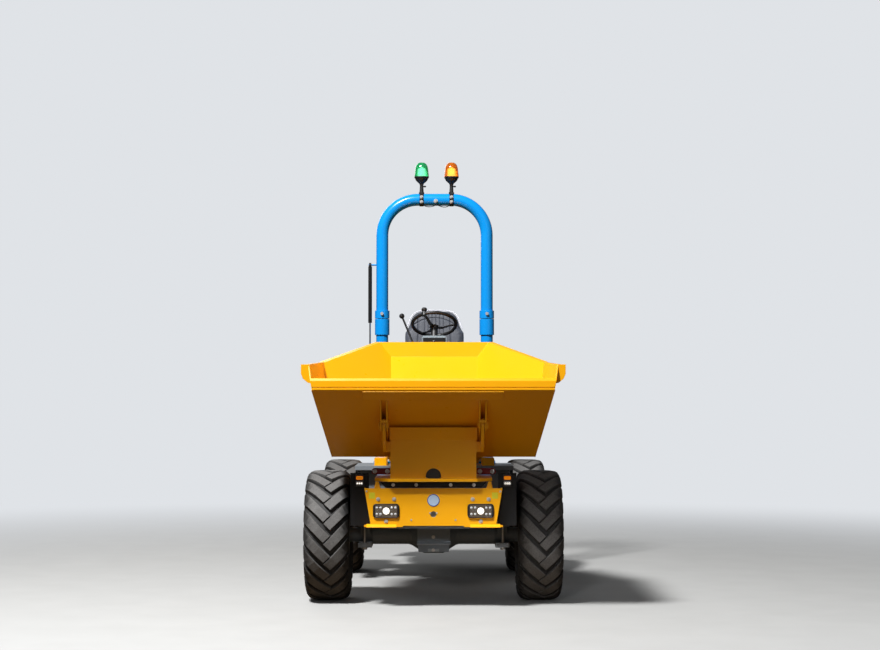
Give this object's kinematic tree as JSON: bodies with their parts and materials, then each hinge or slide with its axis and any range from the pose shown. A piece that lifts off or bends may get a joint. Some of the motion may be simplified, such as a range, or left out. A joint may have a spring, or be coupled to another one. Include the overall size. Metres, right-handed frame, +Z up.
{
  "type": "swivel-skip site dumper",
  "caption": "Articulated site dumper with a slewing and tipping skip in front, an open driver's seat under a folding roll hoop and the engine at the rear.",
  "frame": {"origin": "on the ground, at the middle of the length and width", "axes": "+Y towards the engine end, the skip is at -Y; +X is the driver's left, +Z up"},
  "size_m": [1.665, 3.8, 3.065],
  "materials": {
    "yellow_paint": "gloss",
    "blue_paint": "gloss",
    "axle_paint": "satin",
    "black_paint": "satin",
    "red_paint": "gloss",
    "grey_paint": "satin",
    "rim_paint": "satin",
    "tyre_rubber": "matte",
    "rod_chrome": "polished",
    "steel": "satin",
    "cast": "matte",
    "vinyl": "satin",
    "black_plastic": "matte",
    "lamp_glass": "clear",
    "amber_lens": "gloss"
  },
  "bodies": {
    "rear": {"rear_chassis": "axle_paint", "rear_axle": "axle_paint", "platform": "grey_paint", "side_boxes": "yellow_paint", "steps": "black_paint", "tanks": "grey_paint", "engine": "cast", "counterweight": "cast", "exhaust": "steel", "seat_base": "yellow_paint", "seat_frame": "black_paint", "seat_cushion": "vinyl", "seat_back": "vinyl", "console": "black_plastic", "hoop_lower": "blue_paint"},
    "pivot": {"pivot_block": "axle_paint"},
    "front": {"front_chassis": "axle_paint", "front_axle": "axle_paint", "front_panel": "yellow_paint", "headlamps": "lamp_glass", "front_guards": "black_paint", "side_lamps": "black_plastic", "slew_ring": "steel"},
    "turret": {"pedestal": "yellow_paint", "slew_brackets": "red_paint"},
    "skip": {"skip": "yellow_paint"},
    "tip_barrel": {"tip_barrel": "black_paint"},
    "tip_rod": {"tip_rod": "rod_chrome"},
    "steer_barrel": {"steer_barrel": "black_paint"},
    "steer_rod": {"steer_rod": "rod_chrome"},
    "wheel_front_left": {"tyre_front_left": "tyre_rubber", "rim_front_left": "rim_paint"},
    "wheel_front_right": {"tyre_front_right": "tyre_rubber", "rim_front_right": "rim_paint"},
    "wheel_rear_left": {"tyre_rear_left": "tyre_rubber", "rim_rear_left": "rim_paint"},
    "wheel_rear_right": {"tyre_rear_right": "tyre_rubber", "rim_rear_right": "rim_paint"},
    "bonnet": {"bonnet": "yellow_paint", "bonnet_grille": "black_paint"},
    "hoop_bow": {"hoop_upper": "blue_paint", "beacons": "amber_lens"},
    "strut_barrel": {"strut_barrel": "black_paint"},
    "strut_rod": {"strut_rod": "rod_chrome"},
    "steering_wheel": {"steering_wheel": "black_plastic"}
  },
  "joints": [
    {"name": "steer", "type": "hinge", "parent": "rear", "child": "pivot", "pos_m": [0, 0, 0.49], "axis": [0, 0, 1], "range_deg": [-33, 33]},
    {"name": "roll", "type": "hinge", "parent": "pivot", "child": "front", "pos_m": [0, -0.2, 0.49], "axis": [0, 1, 0], "range_deg": [-10, 10]},
    {"name": "slew", "type": "hinge", "parent": "front", "child": "turret", "pos_m": [0, -1.15, 0.8], "axis": [0, 0, 1], "range_deg": [-90, 90]},
    {"name": "tip", "type": "hinge", "parent": "turret", "child": "skip", "pos_m": [0, -1.7, 1.156], "axis": [1, 0, 0], "range_deg": [0, 70]},
    {"name": "tip_barrel_swing", "type": "hinge", "parent": "turret", "child": "tip_barrel", "pos_m": [0, -1.52, 0.872], "axis": [1, 0, 0], "range_deg": [0, 68.3]},
    {"name": "tip_rod_slide", "type": "slide", "parent": "tip_barrel", "child": "tip_rod", "axis": [0, 0.999, 0.0442], "range_m": [0, 0.38682]},
    {"name": "steer_barrel_swing", "type": "hinge", "parent": "rear", "child": "steer_barrel", "pos_m": [0.205, 0.48, 0.453], "axis": [0, 0, 1], "range_deg": [-1, 1]},
    {"name": "steer_rod_slide", "type": "slide", "parent": "steer_barrel", "child": "steer_rod", "axis": [-0.1072, -0.9942, 0], "range_m": [-0.088, 0.088]},
    {"name": "bonnet_lift", "type": "hinge", "parent": "rear", "child": "bonnet", "pos_m": [0, 1.775, 0.775], "axis": [-1, 0, 0], "range_deg": [0, 35]},
    {"name": "hoop_fold", "type": "hinge", "parent": "rear", "child": "hoop_bow", "pos_m": [0, 0.628, 1.9], "axis": [-1, 0, 0], "range_deg": [0, 90]},
    {"name": "strut_barrel_swing", "type": "hinge", "parent": "hoop_bow", "child": "strut_barrel", "pos_m": [-0.478, 0.55, 2.3], "axis": [1, 0, 0], "range_deg": [0, 46.67]},
    {"name": "strut_rod_slide", "type": "slide", "parent": "strut_barrel", "child": "strut_rod", "axis": [0, 0, 1], "range_m": [0, 0.13172]},
    {"name": "steering_wheel_turn", "type": "hinge", "parent": "rear", "child": "steering_wheel", "pos_m": [0, 0.048, 1.842], "axis": [0, 0.5, 0.866], "continuous": true},
    {"name": "wheel_front_left_spin", "type": "hinge", "parent": "front", "child": "wheel_front_left", "pos_m": [0.6875, -0.95, 0.4225], "axis": [1, 0, 0], "continuous": true},
    {"name": "wheel_front_right_spin", "type": "hinge", "parent": "front", "child": "wheel_front_right", "pos_m": [-0.6875, -0.95, 0.4225], "axis": [1, 0, 0], "continuous": true},
    {"name": "wheel_rear_left_spin", "type": "hinge", "parent": "rear", "child": "wheel_rear_left", "pos_m": [0.6875, 0.95, 0.4225], "axis": [1, 0, 0], "continuous": true},
    {"name": "wheel_rear_right_spin", "type": "hinge", "parent": "rear", "child": "wheel_rear_right", "pos_m": [-0.6875, 0.95, 0.4225], "axis": [1, 0, 0], "continuous": true}
  ],
  "couplings": [
    {"joint": "tip_barrel_swing", "follows": "tip", "ratio": 0.96859},
    {"joint": "tip_rod_slide", "follows": "tip", "m_per_rad": 0.31498},
    {"joint": "steer_barrel_swing", "follows": "steer", "ratio": 0.012167},
    {"joint": "steer_rod_slide", "follows": "steer", "m_per_rad": -0.14452},
    {"joint": "strut_barrel_swing", "follows": "hoop_fold", "ratio": 0.51304},
    {"joint": "strut_rod_slide", "follows": "hoop_fold", "m_per_rad": 0.082582}
  ]
}
